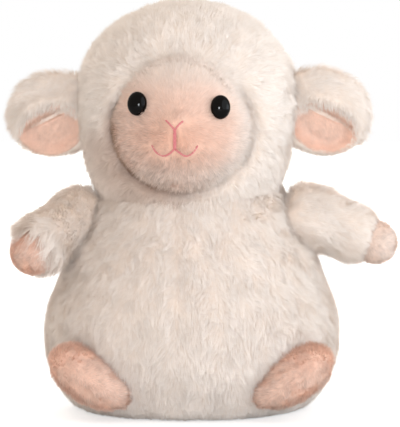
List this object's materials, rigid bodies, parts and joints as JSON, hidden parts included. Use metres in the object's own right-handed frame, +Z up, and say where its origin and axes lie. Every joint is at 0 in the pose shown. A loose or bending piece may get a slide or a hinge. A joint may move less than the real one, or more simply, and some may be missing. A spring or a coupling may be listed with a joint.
{
  "type": "plush sheep",
  "caption": "Sitting plush sheep with a pear-shaped cream body, a round hooded head with a peach face, floppy lined ears, stub arms and small feet.",
  "frame": {"origin": "middle of the flat seat, on the surface that the toy sits on", "axes": "+Z up, -Y the way the body faces, +X towards the sheep's own left"},
  "size_m": [0.1894, 0.1296, 0.1975],
  "materials": {
    "cream_plush": "matte",
    "peach_plush": "matte",
    "ear_lining_plush": "matte",
    "fibre": "matte",
    "pellets": "matte",
    "eye_plastic": "gloss",
    "washer_plastic": "satin"
  },
  "bodies": {
    "body": {"body_cover": "cream_plush", "base_panel": "cream_plush", "body_filling": "fibre", "bean_pouch": "pellets"},
    "head": {"hood": "cream_plush", "face_panel": "peach_plush", "head_filling": "fibre", "eye_left": "eye_plastic", "eye_washer_left": "washer_plastic", "eye_right": "eye_plastic", "eye_washer_right": "washer_plastic"},
    "ear_left": {"ear_outer_left": "cream_plush", "ear_lining_left": "ear_lining_plush"},
    "ear_right": {"ear_outer_right": "cream_plush", "ear_lining_right": "ear_lining_plush"},
    "arm_left": {"sleeve_left": "cream_plush", "arm_filling_left": "fibre", "hand_left": "peach_plush"},
    "arm_right": {"sleeve_right": "cream_plush", "arm_filling_right": "fibre", "hand_right": "peach_plush"},
    "foot_left": {"foot_upper_left": "peach_plush", "foot_sole_left": "peach_plush", "foot_filling_left": "fibre"},
    "foot_right": {"foot_upper_right": "peach_plush", "foot_sole_right": "peach_plush", "foot_filling_right": "fibre"}
  },
  "joints": [
    {"name": "neck_turn", "type": "hinge", "parent": "body", "child": "head", "pos_m": [0, 0, 0.111], "axis": [0, 0, 1], "range_deg": [-15, 15], "stiffness_Nm_per_rad": 0.2},
    {"name": "ear_left_fold", "type": "hinge", "parent": "head", "child": "ear_left", "pos_m": [0.04875, -0.00491, 0.142], "axis": [0, 0, 1], "range_deg": [-20, 20], "stiffness_Nm_per_rad": 0.01},
    {"name": "ear_right_fold", "type": "hinge", "parent": "head", "child": "ear_right", "pos_m": [-0.05278, 0.00487, 0.142], "axis": [0, 0, 1], "range_deg": [-20, 20], "stiffness_Nm_per_rad": 0.01},
    {"name": "arm_left_raise", "type": "hinge", "parent": "body", "child": "arm_left", "pos_m": [0.057, -0.006, 0.093], "axis": [-0.1045, -0.9945, 0], "range_deg": [-15, 26], "stiffness_Nm_per_rad": 0.08},
    {"name": "arm_right_raise", "type": "hinge", "parent": "body", "child": "arm_right", "pos_m": [-0.057, -0.006, 0.093], "axis": [-0.788, 0.6157, 0], "range_deg": [0, 33], "stiffness_Nm_per_rad": 0.08},
    {"name": "foot_left_flex", "type": "hinge", "parent": "body", "child": "foot_left", "pos_m": [0.04562, -0.04127, 0.01974], "axis": [0.803, 0.3244, 0.5], "range_deg": [-8, 8], "stiffness_Nm_per_rad": 0.1},
    {"name": "foot_right_flex", "type": "hinge", "parent": "body", "child": "foot_right", "pos_m": [-0.04562, -0.04127, 0.01974], "axis": [0.803, -0.3244, -0.5], "range_deg": [-8, 8], "stiffness_Nm_per_rad": 0.1}
  ]
}
